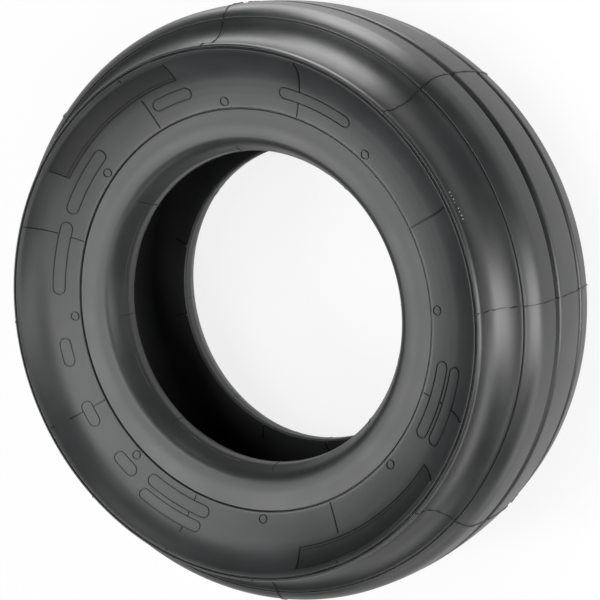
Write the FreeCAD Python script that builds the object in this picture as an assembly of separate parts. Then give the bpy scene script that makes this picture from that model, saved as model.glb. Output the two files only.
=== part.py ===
import FreeCAD, Part
import math
import os

# A nose-wheel aircraft tire, vulcanised in one piece, with a water chine on each side.
# The wheel axis is +Z and the origin is the centre of the tire, so the tire lies on one
# chine. Lengths are in millimetres and angles in degrees. The section is drawn as
# (radius, height), where height is the distance from the centre plane.

# Bead: the toe lands and heel tapers that sit on the wheel, and the flats that its
# flanges press on.
BEAD_SEAT_RADIUS = 101.6
TOE_HALF_GAP = 31.2
TOE_CHAMFER = 1.2
TOE_LAND_WIDTH = 7.3
BEAD_WIDTH = 24.0
HEEL_TAPER = 23.0
HEEL_RADIUS = 4.0
FLANGE_SEAT_WIDTH = 8.7
FLANGE_COVE_WIDTH = 8.2
FLANGE_COVE_RISE = 1.2

# Rim line: the thin raised ring that shows whether the bead is seated all round.
RIM_LINE_WIDTH = 1.4
RIM_LINE_PROUD = 0.6

# Sidewall, a gentle cone that sweeps up to the chine lip.
SIDEWALL_SLOPE = 18.0
SIDEWALL_ARC = 26.0
SIDEWALL_THICKNESS = 7.2
LIP_HALF_WIDTH = 78.4
LIP_DROP = 29.8
LIP_RADIUS = 3.0

# Gutter between the chine lip and the tread, and the fine line where it meets the tread.
GUTTER_ARC = 23.0
SHOULDER_HALF_WIDTH = 49.0
SHOULDER_DROP = 11.2
SHOULDER_LINE_WIDTH = 1.8
SHOULDER_LINE_DEPTH = 1.2

# Tread: one wide rib in the middle, a narrower one on each side of it.
SECTION_HEIGHT = 94.0
CROWN_ARC = 250.0
SHOULDER_ARC = 16.0
GROOVE_OFFSET = 19.7
GROOVE_WIDTH = 9.5
GROOVE_DEPTH = 5.6
GROOVE_FLOOR_RADIUS = 1.8
GROOVE_EDGE_RADIUS = 2.0

# Air cavity.
CROWN_THICKNESS = 15.0
CAVITY_CROWN_ARC = 150.0
CAVITY_SHOULDER_ARC = 22.0

AXLE = FreeCAD.Vector(0, 0, 1)
CENTRE = FreeCAD.Vector(0, 0, 0)


def point(radius, height):
    return FreeCAD.Vector(radius, 0, height)


def towards(start, end, distance):
    """The point at this distance from start on the way to end."""
    return start + (end - start).normalize() * distance


def circle_crossing(centre_a, radius_a, centre_b, radius_b, side):
    """Where two circles cross: side 1 is left of the way from a to b, -1 is right."""
    way = centre_b - centre_a
    gap = way.Length
    along = (radius_a ** 2 - radius_b ** 2 + gap ** 2) / (2 * gap)
    across = math.sqrt(radius_a ** 2 - along ** 2)
    way.normalize()
    left = point(-way.z, way.x)
    return centre_a + way * along + left * (side * across)


def tangent_point(start, centre, radius, side):
    """Where a straight line from start touches a circle, on the given side of it."""
    reach = math.sqrt((centre - start).Length ** 2 - radius ** 2)
    return circle_crossing(start, reach, centre, radius, side)


def inner_tangent(centre_a, radius_a, centre_b, radius_b, side):
    """The ends of the straight line that crosses between two circles and touches both."""
    way = centre_b - centre_a
    lean = side * math.acos((radius_a + radius_b) / way.Length)
    way.normalize()
    normal = point(
        way.x * math.cos(lean) - way.z * math.sin(lean),
        way.x * math.sin(lean) + way.z * math.cos(lean),
    )
    return centre_a + normal * radius_a, centre_b - normal * radius_b


def arc(centre, start, end):
    """The shorter arc about centre from start to end."""
    middle = towards(centre, (start + end) * 0.5, (start - centre).Length)
    return Part.Arc(start, middle, end).toShape()


def line(start, end):
    return Part.LineSegment(start, end).toShape()


def crown_point(height):
    """The point of the tread's crown arc at this height."""
    return point(crown_centre.x + math.sqrt(CROWN_ARC ** 2 - height ** 2), height)


crown_radius = BEAD_SEAT_RADIUS + SECTION_HEIGHT
crown_centre = point(crown_radius - CROWN_ARC, 0)


def bead_edges():
    """The bead from the toe's inner corner to the foot of the rim line, and both ends."""
    land_start = point(BEAD_SEAT_RADIUS, TOE_HALF_GAP + TOE_CHAMFER)
    land_end = point(BEAD_SEAT_RADIUS, TOE_HALF_GAP + TOE_LAND_WIDTH)
    toe_inner = point(BEAD_SEAT_RADIUS + TOE_CHAMFER, TOE_HALF_GAP)
    face_height = TOE_HALF_GAP + BEAD_WIDTH
    slope = math.radians(HEEL_TAPER)
    heel_height = face_height - HEEL_RADIUS
    taper_run = heel_height - land_end.z
    heel_centre = point(
        BEAD_SEAT_RADIUS + taper_run * math.tan(slope) + HEEL_RADIUS / math.cos(slope),
        heel_height,
    )
    heel_start = heel_centre + point(-math.cos(slope), math.sin(slope)) * HEEL_RADIUS
    heel_end = point(heel_centre.x, face_height)
    seat_end = point(heel_centre.x + FLANGE_SEAT_WIDTH, face_height)
    rim_foot = seat_end + point(FLANGE_COVE_WIDTH, FLANGE_COVE_RISE)
    cove_radius = (FLANGE_COVE_WIDTH ** 2 + FLANGE_COVE_RISE ** 2) / (2 * FLANGE_COVE_RISE)
    cove_centre = point(seat_end.x, face_height + cove_radius)
    edges = [
        line(toe_inner, land_start),
        line(land_start, land_end),
        line(land_end, heel_start),
        arc(heel_centre, heel_start, heel_end),
        line(heel_end, seat_end),
        arc(cove_centre, seat_end, rim_foot),
    ]
    return edges, toe_inner, rim_foot


def rim_line_edges(foot):
    """A low ridge with sloping sides, and the point where the sidewall starts."""
    peak = foot + point(RIM_LINE_WIDTH / 2, RIM_LINE_PROUD)
    end = foot + point(RIM_LINE_WIDTH, 0)
    return [line(foot, peak), line(peak, end)], end


def sweep_arc_centre(rim_end, lip_centre):
    """The centre of the arc that touches the sidewall's cone and the chine lip."""
    slope = math.radians(SIDEWALL_SLOPE)
    along = point(math.cos(slope), math.sin(slope))
    above = rim_end + point(-along.z, along.x) * SIDEWALL_ARC
    reach = (lip_centre - above).dot(along)
    offset = (lip_centre - above - along * reach).Length
    return above + along * (reach - math.sqrt((SIDEWALL_ARC + LIP_RADIUS) ** 2 - offset ** 2))


def sidewall_edges(rim_end):
    """The sidewall from the rim line, round the chine lip and down the gutter."""
    lip_centre = point(crown_radius - LIP_DROP, LIP_HALF_WIDTH - LIP_RADIUS)
    shoulder = point(crown_radius - SHOULDER_DROP, SHOULDER_HALF_WIDTH)
    slope = math.radians(SIDEWALL_SLOPE)
    sweep_centre = sweep_arc_centre(rim_end, lip_centre)
    sweep_start = sweep_centre + point(math.sin(slope), -math.cos(slope)) * SIDEWALL_ARC
    gutter_centre = circle_crossing(
        shoulder, GUTTER_ARC, lip_centre, GUTTER_ARC + LIP_RADIUS, -1
    )
    lip_start = towards(lip_centre, sweep_centre, LIP_RADIUS)
    lip_end = towards(lip_centre, gutter_centre, LIP_RADIUS)
    gutter_end = circle_crossing(
        gutter_centre, GUTTER_ARC, shoulder, SHOULDER_LINE_WIDTH / 2, -1
    )
    edges = [
        line(rim_end, sweep_start),
        arc(sweep_centre, sweep_start, lip_start),
        arc(lip_centre, lip_start, lip_end),
        arc(gutter_centre, lip_end, gutter_end),
    ]
    return edges, sweep_centre, shoulder, gutter_end


def groove_edges():
    """One groove with rounded edges and floor, and where it leaves the two ribs."""
    outer_height = GROOVE_OFFSET + GROOVE_WIDTH / 2
    inner_height = GROOVE_OFFSET - GROOVE_WIDTH / 2
    outer_edge = crown_point(outer_height)
    inner_edge = crown_point(inner_height)
    outer_centre = towards(outer_edge, crown_centre, GROOVE_EDGE_RADIUS)
    inner_centre = towards(inner_edge, crown_centre, GROOVE_EDGE_RADIUS)
    floor_centre = crown_point(GROOVE_OFFSET) - point(GROOVE_DEPTH - GROOVE_FLOOR_RADIUS, 0)
    outer_wall, floor_start = inner_tangent(
        outer_centre, GROOVE_EDGE_RADIUS, floor_centre, GROOVE_FLOOR_RADIUS, 1
    )
    inner_wall, floor_end = inner_tangent(
        inner_centre, GROOVE_EDGE_RADIUS, floor_centre, GROOVE_FLOOR_RADIUS, -1
    )
    floor_middle = floor_centre - point(GROOVE_FLOOR_RADIUS, 0)
    edges = [
        arc(outer_centre, outer_edge, outer_wall),
        line(outer_wall, floor_start),
        Part.Arc(floor_start, floor_middle, floor_end).toShape(),
        line(floor_end, inner_wall),
        arc(inner_centre, inner_wall, inner_edge),
    ]
    return edges, outer_edge, inner_edge


def tread_edges(shoulder, gutter_end):
    """From the fine line at the shoulder, over the side rib and through the groove."""
    shoulder_centre = circle_crossing(
        shoulder, SHOULDER_ARC, crown_centre, CROWN_ARC - SHOULDER_ARC, 1
    )
    rib_start = circle_crossing(
        shoulder_centre, SHOULDER_ARC, shoulder, SHOULDER_LINE_WIDTH / 2, -1
    )
    rib_blend = towards(crown_centre, shoulder_centre, CROWN_ARC)
    inward = towards(shoulder, shoulder_centre, SHOULDER_LINE_DEPTH)
    groove, outer_edge, inner_edge = groove_edges()
    edges = [
        line(gutter_end, inward),
        line(inward, rib_start),
        arc(shoulder_centre, rib_start, rib_blend),
        arc(crown_centre, rib_blend, outer_edge),
    ]
    return edges + groove, inner_edge


def cavity_edges(toe_inner, sweep_centre):
    """The cavity wall from the toe up to its crown, one sidewall thickness inside."""
    inner_crown = crown_radius - CROWN_THICKNESS
    vault_centre = point(inner_crown - CAVITY_CROWN_ARC, 0)
    haunch_centre = circle_crossing(
        vault_centre,
        CAVITY_CROWN_ARC - CAVITY_SHOULDER_ARC,
        sweep_centre,
        SIDEWALL_ARC + SIDEWALL_THICKNESS + CAVITY_SHOULDER_ARC,
        -1,
    )
    wall_end = tangent_point(toe_inner, haunch_centre, CAVITY_SHOULDER_ARC, 1)
    vault_start = towards(vault_centre, haunch_centre, CAVITY_CROWN_ARC)
    widest = haunch_centre + point(0, CAVITY_SHOULDER_ARC)
    edges = [
        line(toe_inner, wall_end),
        Part.Arc(wall_end, widest, vault_start).toShape(),
    ]
    return edges, vault_start, inner_crown


def mirrored(edge):
    return edge.mirror(CENTRE, AXLE)


def section():
    bead, toe_inner, rim_foot = bead_edges()
    rim_line, rim_end = rim_line_edges(rim_foot)
    sidewall, sweep_centre, shoulder, gutter_end = sidewall_edges(rim_end)
    tread, rib_edge = tread_edges(shoulder, gutter_end)
    cavity, vault_start, inner_crown = cavity_edges(toe_inner, sweep_centre)
    half = bead + rim_line + sidewall + tread + cavity
    other_half = [mirrored(edge) for edge in half]
    middle_rib = Part.Arc(
        rib_edge, point(crown_radius, 0), point(rib_edge.x, -rib_edge.z)
    ).toShape()
    vault = Part.Arc(
        vault_start, point(inner_crown, 0), point(vault_start.x, -vault_start.z)
    ).toShape()
    outline = Part.Wire(Part.__sortEdges__(half + other_half + [middle_rib, vault]))
    return Part.Face(outline)


tire = section().revolve(CENTRE, AXLE, 360)
os.makedirs("parts", exist_ok=True)
tire.exportStep("parts/tire.step")
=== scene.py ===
import math

import bmesh
import bpy
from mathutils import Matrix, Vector, noise


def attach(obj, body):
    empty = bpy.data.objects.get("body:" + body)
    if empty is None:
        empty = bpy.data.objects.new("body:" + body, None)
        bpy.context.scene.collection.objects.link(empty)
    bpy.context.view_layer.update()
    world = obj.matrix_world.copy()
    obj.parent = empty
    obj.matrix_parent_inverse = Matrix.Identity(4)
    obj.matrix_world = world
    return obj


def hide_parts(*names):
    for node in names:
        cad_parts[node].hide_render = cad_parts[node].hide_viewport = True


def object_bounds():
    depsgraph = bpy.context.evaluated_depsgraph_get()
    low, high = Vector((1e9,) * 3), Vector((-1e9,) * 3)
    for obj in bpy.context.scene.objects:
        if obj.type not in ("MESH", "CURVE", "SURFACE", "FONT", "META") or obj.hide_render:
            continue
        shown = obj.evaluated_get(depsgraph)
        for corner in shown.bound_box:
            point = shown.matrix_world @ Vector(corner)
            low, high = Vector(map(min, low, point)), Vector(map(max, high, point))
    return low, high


# A nose-wheel aircraft tire lying on one side, with a water chine round each shoulder.
# Sizes are in millimetres and become metres as they enter a mesh. Angles are in degrees
# about the wheel axis.

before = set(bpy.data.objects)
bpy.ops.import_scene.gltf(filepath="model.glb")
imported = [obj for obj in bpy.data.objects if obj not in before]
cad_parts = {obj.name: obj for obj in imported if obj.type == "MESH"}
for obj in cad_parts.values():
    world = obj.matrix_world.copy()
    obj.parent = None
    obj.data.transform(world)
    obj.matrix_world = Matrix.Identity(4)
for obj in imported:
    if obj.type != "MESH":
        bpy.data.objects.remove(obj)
cad_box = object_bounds()

MM = 0.001
ROUND_STEPS = 288
FLASH_STEPS = 720

# The upper half of the tire's section, from the inner corner of the bead toe. Each move is
# (radius, height, bend, steps): the bend is an arc's radius, positive where the way turns
# left, and 0 is straight.
TOE_CORNER = (102.9, 31.2)
OUTSIDE = (
    (102.3, 31.5, -0.7, 3),
    (101.7, 32.4, -1.5, 3),
    (101.65, 37.4, 0, 4),
    (102.3, 40.2, -7.0, 5),
    (104.9, 46.4, 0, 4),
    (107.45, 51.1, -28.0, 5),
    (111.3, 53.8, -6.5, 10),
    (121.5, 55.1, -45.0, 10),
    (128.05, 55.45, 0, 3),
    (128.2, 54.6, 0, 2),
    (128.7, 54.6, 0.3, 4),
    (128.85, 56.5, 0, 2),
    (129.35, 56.6, -0.3, 4),
    (129.6, 56.4, 0, 1),
    (147.2, 62.0, 150.0, 14),
    (163.04, 76.58, 29.5, 16),
    (164.75, 78.05, -8.0, 5),
    (165.35, 78.1, -0.4, 5),
    (165.5, 77.2, 0, 2),
    (166.5, 77.1, 0.55, 5),
    (166.65, 77.8, 0, 2),
    (167.4, 77.9, -0.5, 5),
    (168.75, 74.9, -2.8, 7),
    (183.45, 49.5, 23.0, 22),
    (183.75, 48.35, 0, 2),
    (184.1, 48.2, 0.3, 3),
    (184.4, 48.95, 0, 1),
    (185.0, 48.75, -0.35, 4),
    (192.82, 37.2, -16.0, 12),
    (194.40, 24.45, -250.0, 5),
    (193.1, 22.38, -2.0, 5),
    (190.4, 21.39, 0, 2),
    (190.39, 18.02, 1.8, 7),
    (193.86, 16.7, 0, 2),
    (195.15, 14.95, -2.0, 5),
    (195.48, 0.0, -280.0, 6),
)
INSIDE = (
    (143.71, 53.09, 0, 14),
    (175.31, 39.48, -22.0, 18),
    (180.6, 0.0, -150.0, 12),
)

# Mouldings on each sidewall. Angles and radii are from the middle of the tire.
RADIAL_LINES = (
    (-8.4, ((130.0, 138.75), (147.6, 164.8))),
    (-53.2, ((130.0, 150.3), (163.2, 164.8))),
    (-98.3, ((130.0, 138.2), (146.0, 164.8))),
    (-143.4, ((130.0, 164.8),)),
    (-188.3, ((130.0, 134.4), (142.7, 144.2), (152.5, 164.8))),
    (-233.4, ((130.0, 149.0), (163.4, 164.8))),
    (-278.5, ((130.0, 133.5), (142.0, 144.3), (151.7, 154.6), (163.4, 164.8))),
    (-319.6, ((130.0, 138.75), (147.0, 155.4), (162.6, 164.8))),
)
NAME_FRAMES = (
    (8.2, -12.3, 138.75, 147.6),
    (-14.6, -35.1, 138.9, 147.5),
    (-54.7, -67.1, 138.7, 146.6),
    (-92.6, -113.6, 138.2, 146.0),
    (-178.5, -198.5, 144.2, 152.5),
    (-178.2, -199.3, 134.4, 142.7),
    (-273.8, -293.6, 144.3, 151.7),
    (-272.7, -294.0, 133.5, 142.0),
    (-297.3, -305.5, 138.5, 147.0),
    (-314.3, -322.0, 138.75, 147.0),
    (-332.0, -340.1, 138.75, 147.0),
)
ARC_PLATES = (
    (-23.2, -64.8, 151.75, 162.5),
    (-203.0, -244.8, 151.0, 162.75),
)
VENT_ANGLES = tuple(14.2 - 45.0 * k for k in range(8))
VENT_RADIUS = 133.4
VENT_DIAMETER = 6.4
# Two rows of nibs by the chine: the first one's angle, and how far along the section.
NIB_START = -141.2
NIB_RUN = 101.5

# Every moulding starts this far inside the rubber, and none passes the chine's top.
SINK = 0.35
CHINE_TOP = 78.35
# Long edges round the tire are cut into pieces about this long, to bend with it.
PIECE_LENGTH = 3.0
# Points nearer than this are one point.
TOUCHING = 0.01
# The part of the floor's look that is white of itself, and not lit.
FLOOR_GLOW = 0.84
# The world's strength: a little light from everywhere.
ROOM_LIGHT = 0.04


def vertices(made, key="geom"):
    return [g for g in made[key] if isinstance(g, bmesh.types.BMVert)]


def faces(made):
    return [g for g in made["geom"] if isinstance(g, bmesh.types.BMFace)]


def draw(bm, tip, moves, up):
    """Draws a chain of edges from the vertex tip, and gives its vertices in order.
    up is the second direction of the drawing plane: +Z for a section, +Y for a flat."""
    axis = Vector((1, 0, 0)).cross(up)
    chain = [tip]
    for across, along, bend, steps in moves:
        way = (Vector((across, 0, 0)) + along * up) * MM - tip.co
        settings = dict(cent=tip.co.copy(), axis=axis, dvec=way / steps, angle=0.0)
        if bend:
            radius = abs(bend) * MM
            half = min(way.length / 2, radius)
            side = math.copysign(1.0, bend)
            out = axis.cross(way).normalized() * side * math.sqrt(radius ** 2 - half ** 2)
            settings = dict(
                cent=tip.co + way / 2 + out,
                axis=axis,
                angle=side * 2 * math.asin(half / radius) / steps,
            )
        for _ in range(steps):
            made = bmesh.ops.spin(bm, geom=[tip], steps=1, **settings)
            tip = vertices(made, "geom_last")[0]
            if not bend:
                settings["cent"] = tip.co.copy()
            chain.append(tip)
    return chain


def make_piece(name, bm, material, sharp=35.0):
    """The finished piece: it rides on the tire and takes the rubber's slot."""
    bmesh.ops.remove_doubles(bm, verts=bm.verts[:], dist=TOUCHING * MM)
    bmesh.ops.recalc_face_normals(bm, faces=bm.faces[:])
    mesh = bpy.data.meshes.new(name)
    bm.to_mesh(mesh)
    bm.free()
    mesh.shade_smooth()
    mesh.set_sharp_from_angle(angle=math.radians(sharp))
    mesh.materials.append(material)
    piece = bpy.data.objects.new(name, mesh)
    bpy.context.scene.collection.objects.link(piece)
    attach(piece, "root")
    return piece


def measured(chain, side):
    """A way along the section: its points, how far along each is, and the rubber's side."""
    points = [v.co.copy() for v in chain]
    runs = [0.0]
    for here, there in zip(points, points[1:]):
        runs.append(runs[-1] + (there - here).length)
    return points, runs, side


# The ways along the outside and the inside of the section, which mouldings are laid on.
Z_UP = Vector((0, 0, 1))
Y_UP = Vector((0, 1, 0))
drawing = bmesh.new()
corner = drawing.verts.new((TOE_CORNER[0] * MM, 0, TOE_CORNER[1] * MM))
outer_way = measured(draw(drawing, corner, OUTSIDE, Z_UP), 1.0)
inner_way = measured(draw(drawing, corner, INSIDE, Z_UP), -1.0)
CROWN_RUN = outer_way[1][-1] / MM


def on_section(run, way=outer_way):
    """The point and outward normal of the section, this many mm from the toe's corner."""
    points, runs, side = way
    distance = min(max(run * MM, 0.0), runs[-1] - 1e-9)
    k = next(i for i in range(1, len(runs)) if runs[i] > distance) - 1
    share = (distance - runs[k]) / (runs[k + 1] - runs[k])
    point = points[k].lerp(points[k + 1], share)
    before = points[max(k - 1, 0)].lerp(points[k], share)
    after = points[k + 1].lerp(points[min(k + 2, len(points) - 1)], share)
    along = (after - before).normalized() * side
    return point, Vector((-along.z, 0, along.x))


def run_at(radius):
    """How far along the outside the sidewall first reaches this radius, in mm."""
    least_height = 50.0 * MM
    points, runs, _ = outer_way
    for k in range(len(points) - 1):
        low, high = points[k], points[k + 1]
        if low.z > least_height and low.x <= radius * MM < high.x:
            share = (radius * MM - low.x) / (high.x - low.x)
            return (runs[k] + share * (runs[k + 1] - runs[k])) / MM
    raise ValueError(radius)


def add_to(piece, bm):
    mesh = bpy.data.meshes.new("part")
    bm.to_mesh(mesh)
    bm.free()
    piece.from_mesh(mesh)
    bpy.data.meshes.remove(mesh)


def lay_on(piece, flat, angle, reference=None, way=outer_way):
    """Lays a flat moulding on the rubber and adds it to its piece. In the flat, X runs
    round the tire, Y along its section and Z off the rubber."""
    for vert in flat.verts:
        point, normal = on_section(vert.co.y / MM, way)
        place = point + normal * vert.co.z
        turn = math.radians(angle) + vert.co.x / (reference * MM if reference else point.x)
        height = min(place.z, CHINE_TOP * MM)
        vert.co = (place.x * math.cos(turn), place.x * math.sin(turn), height)
    add_to(piece, flat)


def raise_up(bm, flats, height, draft):
    """Turns flat faces into a closed moulding whose sides lean in by the mould's draft."""
    down = [f for f in flats if f.normal.z < 0]
    if down:
        bmesh.ops.reverse_faces(bm, faces=down)
    made = bmesh.ops.extrude_face_region(bm, geom=flats)
    bmesh.ops.translate(bm, verts=vertices(made), vec=(0, 0, SINK * MM))
    bmesh.ops.inset_region(
        bm, faces=faces(made), thickness=draft * MM, depth=height * MM, use_even_offset=True
    )


def both_sides(bm):
    """Repeats what is on the upper side on the lower side."""
    made = bmesh.ops.duplicate(bm, geom=bm.verts[:] + bm.edges[:] + bm.faces[:])
    bmesh.ops.scale(bm, verts=vertices(made), vec=(1, 1, -1))


def flat_ribbon(low, high, width, steps):
    """A flat strip along the section, in the middle of the angle that it is laid at."""
    bm = bmesh.new()
    ends = [bm.verts.new((x * MM, low * MM, -SINK * MM)) for x in (-width / 2, width / 2)]
    bm.edges.new(ends)
    step = Vector((0, (high - low) * MM / steps, 0))
    bmesh.ops.spin(
        bm, geom=bm.verts[:] + bm.edges[:], cent=(0, 0, 0), axis=(0, 0, 1),
        dvec=step, angle=0.0, steps=steps,
    )
    bm.normal_update()
    return bm


def flat_outline(length, low, high, corner):
    """A flat face with rounded corners, length round the tire and low to high across."""
    bm = bmesh.new()
    half = length / 2 - corner
    steps = max(int(length / PIECE_LENGTH), 2)
    straight_ends = high - low > 2 * corner + TOUCHING
    tip = bm.verts.new((-half * MM, low * MM, 0))
    moves = [(half, low, 0, steps), (half + corner, low + corner, corner, 5)]
    if straight_ends:
        moves.append((half + corner, high - corner, 0, 3))
    moves += [(half, high, corner, 5), (-half, high, 0, steps)]
    moves.append((-half - corner, high - corner, corner, 5))
    if straight_ends:
        moves.append((-half - corner, low + corner, 0, 3))
    moves.append((-half, low, corner, 5))
    draw(bm, tip, moves, Y_UP)
    bmesh.ops.remove_doubles(bm, verts=bm.verts[:], dist=2 * TOUCHING * MM)
    bmesh.ops.contextual_create(bm, geom=bm.edges[:])
    bmesh.ops.translate(bm, verts=bm.verts[:], vec=(0, 0, -SINK * MM))
    bm.normal_update()
    return bm


def flat_ring(length, low, high, corner, width):
    """The band inside such an outline, as wide as the moulded line."""
    bm = flat_outline(length, low, high, corner)
    band = bmesh.ops.inset_region(
        bm, faces=bm.faces[:], thickness=width * MM, use_boundary=True,
        use_even_offset=True,
    )["faces"]
    middle = [f for f in bm.faces if f not in set(band)]
    bmesh.ops.delete(bm, geom=middle, context="FACES")
    return bm


# Colours are written as they look, in sRGB, and turned to linear for the shader.
def colour(code):
    parts = [int(code[i : i + 2], 16) / 255 for i in (1, 3, 5)]
    linear = [p / 12.92 if p <= 0.04045 else ((p + 0.055) / 1.055) ** 2.4 for p in parts]
    return (*linear, 1.0)


def add_node(tree, kind, inputs=None, **settings):
    """Adds a node, sets its properties, and fills or links its inputs."""
    node = tree.nodes.new(kind)
    for key, value in settings.items():
        setattr(node, key, value)
    for key, value in (inputs or {}).items():
        if isinstance(value, bpy.types.NodeSocket):
            tree.links.new(value, node.inputs[key])
        else:
            node.inputs[key].default_value = value
    return node


def new_material(name):
    material = bpy.data.materials.new(name)
    material.use_nodes = True
    tree = material.node_tree
    tree.nodes.clear()
    return material, tree


def moulded_rubber(name, sidewall, tread, grain):
    """Carbon-black rubber as it leaves a steel mould: a satin skin with a fine grain, faint
    turning marks from the mould, and cloudy patches. The sidewall has bloomed, which makes
    it paler and duller than the gutter and tread. Each look is (dark, light, roughness)."""
    material, tree = new_material(name)
    place = add_node(tree, "ShaderNodeTexCoord").outputs["Object"]
    # Clouds about 40 mm across, with streaks of 6 mm in them.
    clouds = add_node(
        tree, "ShaderNodeTexNoise",
        {"Vector": place, "Scale": 25.0, "Detail": 4.0, "Roughness": 0.6},
    )
    # Grain of about 0.8 mm: the real skin's is finer than the picture can show.
    grit = add_node(
        tree, "ShaderNodeTexNoise",
        {"Vector": place, "Scale": 1250.0, "Detail": 2.0, "Roughness": 0.6},
    )
    # Turning marks of the mould, rings about the wheel axis 2.4 mm apart.
    marks = add_node(
        tree, "ShaderNodeTexWave",
        {"Vector": place, "Scale": 66.0, "Distortion": 3.0, "Detail": 2.0,
         "Detail Scale": 2.0},
        wave_type="RINGS", rings_direction="Z",
    )
    # The distance from the wheel axis: the bloom ends at the chine, 164 to 167 mm out.
    flat_place = add_node(
        tree, "ShaderNodeVectorMath", {0: place, 1: (1.0, 1.0, 0.0)}, operation="MULTIPLY"
    ).outputs["Vector"]
    out = add_node(
        tree, "ShaderNodeVectorMath", {0: flat_place}, operation="LENGTH"
    ).outputs["Value"]
    outside = add_node(
        tree, "ShaderNodeMapRange", {"Value": out, "From Min": 0.164, "From Max": 0.167}
    ).outputs["Result"]
    tone = add_node(
        tree, "ShaderNodeMapRange",
        {"Value": clouds.outputs["Fac"], "From Min": 0.35, "From Max": 0.65},
    ).outputs["Result"]
    looks = [
        add_node(
            tree, "ShaderNodeMix", {0: tone, 6: colour(dark), 7: colour(light)},
            data_type="RGBA",
        ).outputs[2]
        for dark, light, _ in (sidewall, tread)
    ]
    skin_colour = add_node(
        tree, "ShaderNodeMix", {0: outside, 6: looks[0], 7: looks[1]}, data_type="RGBA"
    ).outputs[2]
    mean_roughness = add_node(
        tree, "ShaderNodeMapRange",
        {"Value": outside, "To Min": sidewall[2], "To Max": tread[2]},
    ).outputs["Result"]
    roughness = add_node(
        tree, "ShaderNodeMath",
        {0: tone, 1: 0.06, 2: mean_roughness}, operation="MULTIPLY_ADD",
    ).outputs["Value"]
    ringed = add_node(
        tree, "ShaderNodeBump",
        {"Height": marks.outputs["Fac"], "Strength": 0.25, "Distance": 0.03 * MM},
    )
    grained = add_node(
        tree, "ShaderNodeBump",
        {"Height": grit.outputs["Fac"], "Strength": 0.6, "Distance": grain * MM,
         "Normal": ringed.outputs["Normal"]},
    )
    skin = add_node(
        tree, "ShaderNodeBsdfPrincipled",
        {"Base Color": skin_colour, "Roughness": roughness,
         "Normal": grained.outputs["Normal"], "IOR": 1.6},
    )
    add_node(tree, "ShaderNodeOutputMaterial", {"Surface": skin.outputs["BSDF"]})
    return material


# The tire's own skin: grey and satin on the sidewall, blacker and smoother outside it.
skin_rubber = moulded_rubber(
    "moulded_rubber", ("#2f3031", "#363738", 0.41), ("#1c1d1e", "#222324", 0.36), 0.045
)
# The plates' spark-cut field, dull and dark beside the bloomed sidewall.
field_rubber = moulded_rubber(
    "sparked_rubber", ("#171818", "#1d1e1e", 0.58), ("#171818", "#1d1e1e", 0.58), 0.12
)
# Thin raised lines, painted darker than the skin around them: painted shade that stands in
# for the shadow along their sides, so that they draw dark on the paler skin.
painted_shade_line_rubber = moulded_rubber(
    "painted_shade_rubber", ("#121313", "#181919", 0.38), ("#101111", "#161717", 0.34), 0.03
)
# Nibs that chalk dust clings to: the few pale specks on the black gutter.
chalky_rubber = moulded_rubber(
    "chalky_rubber", ("#a0a2a4", "#b0b2b4", 0.5), ("#a0a2a4", "#b0b2b4", 0.5), 0.03
)


def tire_body():
    """The whole tire, spun from its section."""
    everything = drawing.verts[:] + drawing.edges[:]
    bmesh.ops.mirror(drawing, geom=everything, axis="Z", merge_dist=TOUCHING * MM)
    bmesh.ops.spin(
        drawing, geom=drawing.verts[:] + drawing.edges[:], cent=(0, 0, 0), axis=(0, 0, 1),
        angle=math.tau, steps=ROUND_STEPS, use_merge=True,
    )
    body = make_piece("tire_body", drawing, skin_rubber, 60.0)
    smoothing = body.modifiers.new("Even shading", "WEIGHTED_NORMAL")
    smoothing.keep_sharp = True
    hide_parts("tire")


def sidewall_lines():
    """The lines that run out from the rim line to the chine, eight on each side."""
    bm = bmesh.new()
    for angle, spans in RADIAL_LINES:
        for inner, outer in spans:
            low, high = run_at(inner), run_at(outer)
            flat = flat_ribbon(low, high, 1.0, max(int((high - low) / 1.2), 1))
            raise_up(flat, flat.faces[:], 0.65, 0.25)
            lay_on(bm, flat, angle)
    both_sides(bm)
    make_piece("sidewall_lines", bm, painted_shade_line_rubber)


def name_frames():
    """The long rounded frames, left bare."""
    bm = bmesh.new()
    for start, end, inner, outer in NAME_FRAMES:
        middle = (inner + outer) / 2
        low, high = run_at(inner), run_at(outer)
        length = math.radians(start - end) * middle
        flat = flat_ring(length, low, high, (high - low) / 2, 0.95)
        raise_up(flat, flat.faces[:], 0.65, 0.25)
        lay_on(bm, flat, (start + end) / 2, middle)
    both_sides(bm)
    make_piece("name_frames", bm, painted_shade_line_rubber)


def vent_rings():
    """The raised rings by the rim line, where the mould's air vents were."""
    bm = bmesh.new()
    middle = run_at(VENT_RADIUS)
    for angle in VENT_ANGLES:
        flat = bmesh.new()
        bmesh.ops.create_circle(
            flat, cap_ends=True, segments=28, radius=VENT_DIAMETER / 2 * MM
        )
        bmesh.ops.translate(flat, verts=flat.verts[:], vec=(0, middle * MM, -SINK * MM))
        flat.normal_update()
        band = bmesh.ops.inset_region(
            flat, faces=flat.faces[:], thickness=0.9 * MM, use_boundary=True,
            use_even_offset=True,
        )["faces"]
        disc = [f for f in flat.faces if f not in set(band)]
        bmesh.ops.delete(flat, geom=disc, context="FACES")
        raise_up(flat, flat.faces[:], 0.7, 0.22)
        lay_on(bm, flat, angle)
    both_sides(bm)
    make_piece("vent_rings", bm, painted_shade_line_rubber)


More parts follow.
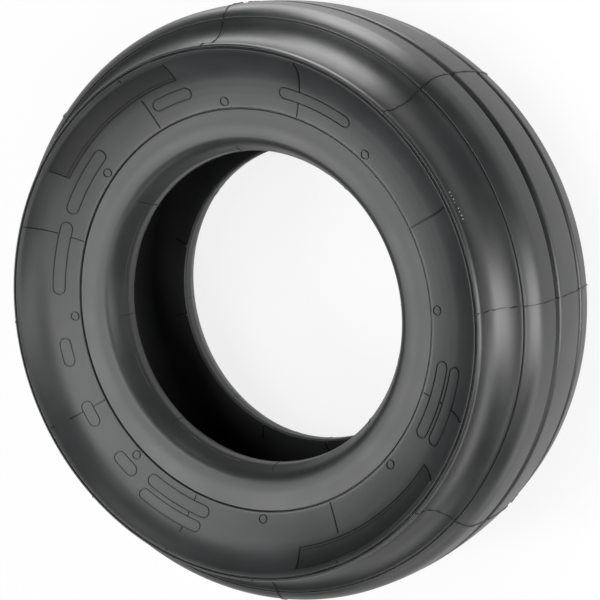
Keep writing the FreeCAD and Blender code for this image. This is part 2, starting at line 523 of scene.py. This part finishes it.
def arc_plates():
    """The two bare plates by the chine: a raised edge round a darker, sparked field."""
    edges, fields = bmesh.new(), bmesh.new()
    for start, end, inner, outer in ARC_PLATES:
        middle = (inner + outer) / 2
        low, high = run_at(inner), run_at(outer)
        length = math.radians(start - end) * middle
        angle = (start + end) / 2
        cuts = int(length / PIECE_LENGTH)
        flat = flat_ring(length, low, high, 0.5, 0.8)
        raise_up(flat, flat.faces[:], 0.65, 0.22)
        lay_on(edges, flat, angle, middle)
        # A second line inside the plate, 2 mm from its inner edge.
        flat = bmesh.new()
        reach = length / 2 - 1.0
        ends = [
            flat.verts.new((x * MM, (low + 2.0) * MM, -SINK * MM)) for x in (-reach, reach)
        ]
        flat.edges.new(ends)
        bmesh.ops.subdivide_edges(flat, edges=flat.edges[:], cuts=cuts)
        bmesh.ops.spin(
            flat, geom=flat.verts[:] + flat.edges[:], cent=(0, 0, 0), axis=(0, 0, 1),
            dvec=(0, 0.7 * MM, 0), angle=0.0, steps=1,
        )
        flat.normal_update()
        raise_up(flat, flat.faces[:], 0.35, 0.2)
        lay_on(edges, flat, angle, middle)
        flat = flat_ribbon(low + 0.4, high - 0.4, length - 0.8, 10)
        across = [e for e in flat.edges if abs(e.verts[0].co.y - e.verts[1].co.y) < 1e-7]
        bmesh.ops.subdivide_edges(flat, edges=across, cuts=cuts)
        raise_up(flat, flat.faces[:], 0.12, 0.1)
        lay_on(fields, flat, angle, middle)
    both_sides(edges)
    both_sides(fields)
    make_piece("plate_edges", edges, painted_shade_line_rubber)
    make_piece("plate_fields", fields, field_rubber)


def tread_seams():
    """Where the segments of the mould met: a thin, uneven fin from chine to chine."""
    bm = bmesh.new()
    start = run_at(166.7)
    for k, angle in enumerate(VENT_ANGLES):
        flat = flat_ribbon(start, CROWN_RUN, 1.0, 160)
        raise_up(flat, flat.faces[:], 0.6, 0.2)
        for vert in flat.verts:
            spot = Vector((k * 7.0, vert.co.y * 120.0, 0.0))
            vert.co.x += noise.noise(spot) * 0.5 * MM
            if vert.co.z > 0.05 * MM:
                vert.co.z += noise.noise(spot * 2.0) * 0.4 * MM
        lay_on(bm, flat, angle + 0.1)
    both_sides(bm)
    make_piece("tread_seams", bm, painted_shade_line_rubber)


def ragged_ring(piece, run, half_width, height, ragged):
    """A thin line of flash all round the tire, whose height and place wander."""
    flat = bmesh.new()
    corners = [
        flat.verts.new((0, (run + y * half_width) * MM, z * MM))
        for y, z in ((-1.0, -0.3), (-0.4, height), (0.3, height), (1.0, -0.3))
    ]
    for a, b in zip(corners, corners[1:] + corners[:1]):
        flat.edges.new((a, b))
    _, normal = on_section(run)
    for vert in corners:
        point, lean = on_section(vert.co.y / MM)
        vert.co = point + lean * vert.co.z
    bmesh.ops.spin(
        flat, geom=flat.verts[:] + flat.edges[:], cent=(0, 0, 0), axis=(0, 0, 1),
        angle=math.tau, steps=FLASH_STEPS, use_merge=True,
    )
    for vert in flat.verts:
        out = Vector((vert.co.x, vert.co.y, 0)).normalized()
        lift = out * normal.x + Vector((0, 0, normal.z))
        wander = noise.noise(vert.co * 55.0) * 0.6 + noise.noise(vert.co * 300.0) * 0.4
        vert.co += lift * (wander * ragged * MM)
        vert.co.z = min(vert.co.z, CHINE_TOP * MM)
    add_to(piece, flat)


def chine_flash():
    """The ragged line of rubber that squeezed out along the crest of each chine."""
    bm = bmesh.new()
    ragged_ring(bm, run_at(166.0), 0.35, 0.4, 1.0)
    both_sides(bm)
    make_piece("chine_flash", bm, skin_rubber)


def vent_nibs():
    """Two short rows of small nibs just outside the chine, dusted with chalk."""
    bm = bmesh.new()
    for k in range(8):
        second_row = k > 3
        stray = noise.noise(Vector((k * 3.1, 0.5, 0.0))) * 0.8
        run = NIB_RUN + second_row * 1.3 + stray
        flat = flat_ribbon(run, run + 0.8, 0.7, 1)
        raise_up(flat, flat.faces[:], 0.4, 0.12)
        lay_on(bm, flat, NIB_START - 0.75 * k - second_row * 0.5)
    make_piece("vent_nibs", bm, chalky_rubber)


def bead_flash():
    """Flash at the toe of each bead, and the short fins of the mould's vents across it."""
    bm = bmesh.new()
    ragged_ring(bm, 2.2, 0.6, 0.25, 0.45)
    ragged_ring(bm, 10.6, 0.5, 0.05, 0.4)
    for k in range(8):
        reach = 23.0 if k == 1 else 15.0
        flat = flat_ribbon(2.5, reach, 0.7, 10)
        raise_up(flat, flat.faces[:], 0.35, 0.2)
        lay_on(bm, flat, 15.3 - 45.0 * k)
    both_sides(bm)
    make_piece("bead_flash", bm, skin_rubber)


def inner_ribs():
    """Short ribs on the inner wall of each bead, left by the grooves of the bladder."""
    bm = bmesh.new()
    for k in range(13):
        flat = flat_ribbon(0.4, 16.0, 1.2, 10)
        raise_up(flat, flat.faces[:], 0.8, 0.35)
        lay_on(bm, flat, -33.8 + 360.0 / 13 * k, way=inner_way)
    both_sides(bm)
    make_piece("inner_ribs", bm, skin_rubber)


def studio():
    """A plain pale floor, soft lamps and the camera above the tire."""
    bm = bmesh.new()
    bmesh.ops.create_grid(bm, x_segments=1, y_segments=1, size=40.0)
    bmesh.ops.translate(bm, verts=bm.verts[:], vec=(0, 0, cad_box[0][2]))
    mesh = bpy.data.meshes.new("floor")
    bm.to_mesh(mesh)
    bm.free()
    floor = bpy.data.objects.new("floor", mesh)
    bpy.context.scene.collection.objects.link(floor)
    material, tree = new_material("pale_floor")
    seen = add_node(tree, "ShaderNodeLightPath").outputs
    mirrored = add_node(
        tree, "ShaderNodeMath",
        {0: seen["Is Glossy Ray"], 1: seen["Is Transmission Ray"]}, operation="MAXIMUM",
    )
    looked_at = add_node(
        tree, "ShaderNodeMath", {0: seen["Is Camera Ray"], 1: mirrored.outputs[0]},
        operation="MAXIMUM",
    )
    # Paper that looks white, also in mirrors, throws little light back and keeps shadows.
    tint = add_node(
        tree, "ShaderNodeMix",
        {0: seen["Is Camera Ray"], 6: colour("#7c7c7c"), 7: colour("#f2f2f2")},
        data_type="RGBA",
    )
    paper = add_node(tree, "ShaderNodeBsdfDiffuse", {"Color": tint.outputs[2]})
    glow = add_node(tree, "ShaderNodeEmission", {"Color": (1, 1, 1, 1), "Strength": 1.0})
    share = add_node(
        tree, "ShaderNodeMath", {0: looked_at.outputs[0], 1: FLOOR_GLOW},
        operation="MULTIPLY",
    )
    both = add_node(
        tree, "ShaderNodeMixShader",
        {0: share.outputs[0], 1: paper.outputs[0], 2: glow.outputs[0]},
    )
    add_node(tree, "ShaderNodeOutputMaterial", {"Surface": both.outputs[0]})
    floor.data.materials.append(material)

    world = bpy.data.worlds.new("studio")
    bpy.context.scene.world = world
    world.use_nodes = True
    # A little light from everywhere, as in a large dim room.
    background = world.node_tree.nodes["Background"]
    background.inputs["Color"].default_value = (1, 1, 1, 1)
    background.inputs["Strength"].default_value = ROOM_LIGHT

    # Where each lamp is and what it points at, in metres, its size and its power in watts.
    # Six hang round the tire, and four small ones stand or lie low beside it.
    for name, place, target, width, height, power in (
        ("top_lamp", (0.2, 0, 2.49), (0, 0, 0), 1.0, 1.0, 20.0),
        ("key_lamp", (1.3, 0.88, 1.95), (0, 0, 0), 0.6, 0.6, 20.0),
        ("back_lamp", (0.8, -0.96, 2.17), (0, 0, 0), 1.0, 0.9, 16.0),
        ("right_lamp", (-2.05, 0, 1.43), (0, 0, 0), 1.2, 1.0, 15.0),
        ("front_lamp", (-1.0, 0.86, 2.12), (0, 0, 0), 0.9, 0.9, 9.0),
        ("low_lamp", (-0.92, 2.27, 0.56), (0, 0, 0), 1.4, 1.0, 9.0),
        ("back_panel", (0.05, -0.58, 0.04), (0, 0, 0.04), 0.26, 0.25, 1.6),
        ("back_floor", (0.13, -0.42, -0.076), (0.13, -0.42, 1.0), 0.4, 0.25, 1.1),
        ("right_panel", (-0.6, -0.08, 0.1), (0, 0, 0.05), 0.25, 0.35, 1.8),
        ("right_floor", (-0.47, 0.22, -0.076), (-0.47, 0.22, 1.0), 0.28, 0.48, 0.6),
    ):
        lamp = bpy.data.lights.new(name, "AREA")
        lamp.shape = "RECTANGLE"
        lamp.size = width
        lamp.size_y = height
        lamp.energy = power
        holder = bpy.data.objects.new(name, lamp)
        holder.location = place
        holder.visible_camera = False
        away = Vector(place) - Vector(target)
        holder.rotation_euler = away.to_track_quat("Z", "Y").to_euler()
        bpy.context.scene.collection.objects.link(holder)

    camera = bpy.data.cameras.new("camera")
    camera.lens = 92.52
    camera.sensor_width = 36.0
    holder = bpy.data.objects.new("camera", camera)
    holder.location = (-0.46254, -0.24349, 0.87936)
    holder.rotation_euler = [math.radians(a) for a in (-9.7203, 28.8489, -171.5480)]
    bpy.context.scene.collection.objects.link(holder)
    bpy.context.scene.camera = holder
    bpy.context.scene.view_settings.view_transform = "Standard"


studio()
tire_body()
sidewall_lines()
name_frames()
vent_rings()
arc_plates()
tread_seams()
chine_flash()
vent_nibs()
bead_flash()
inner_ribs()
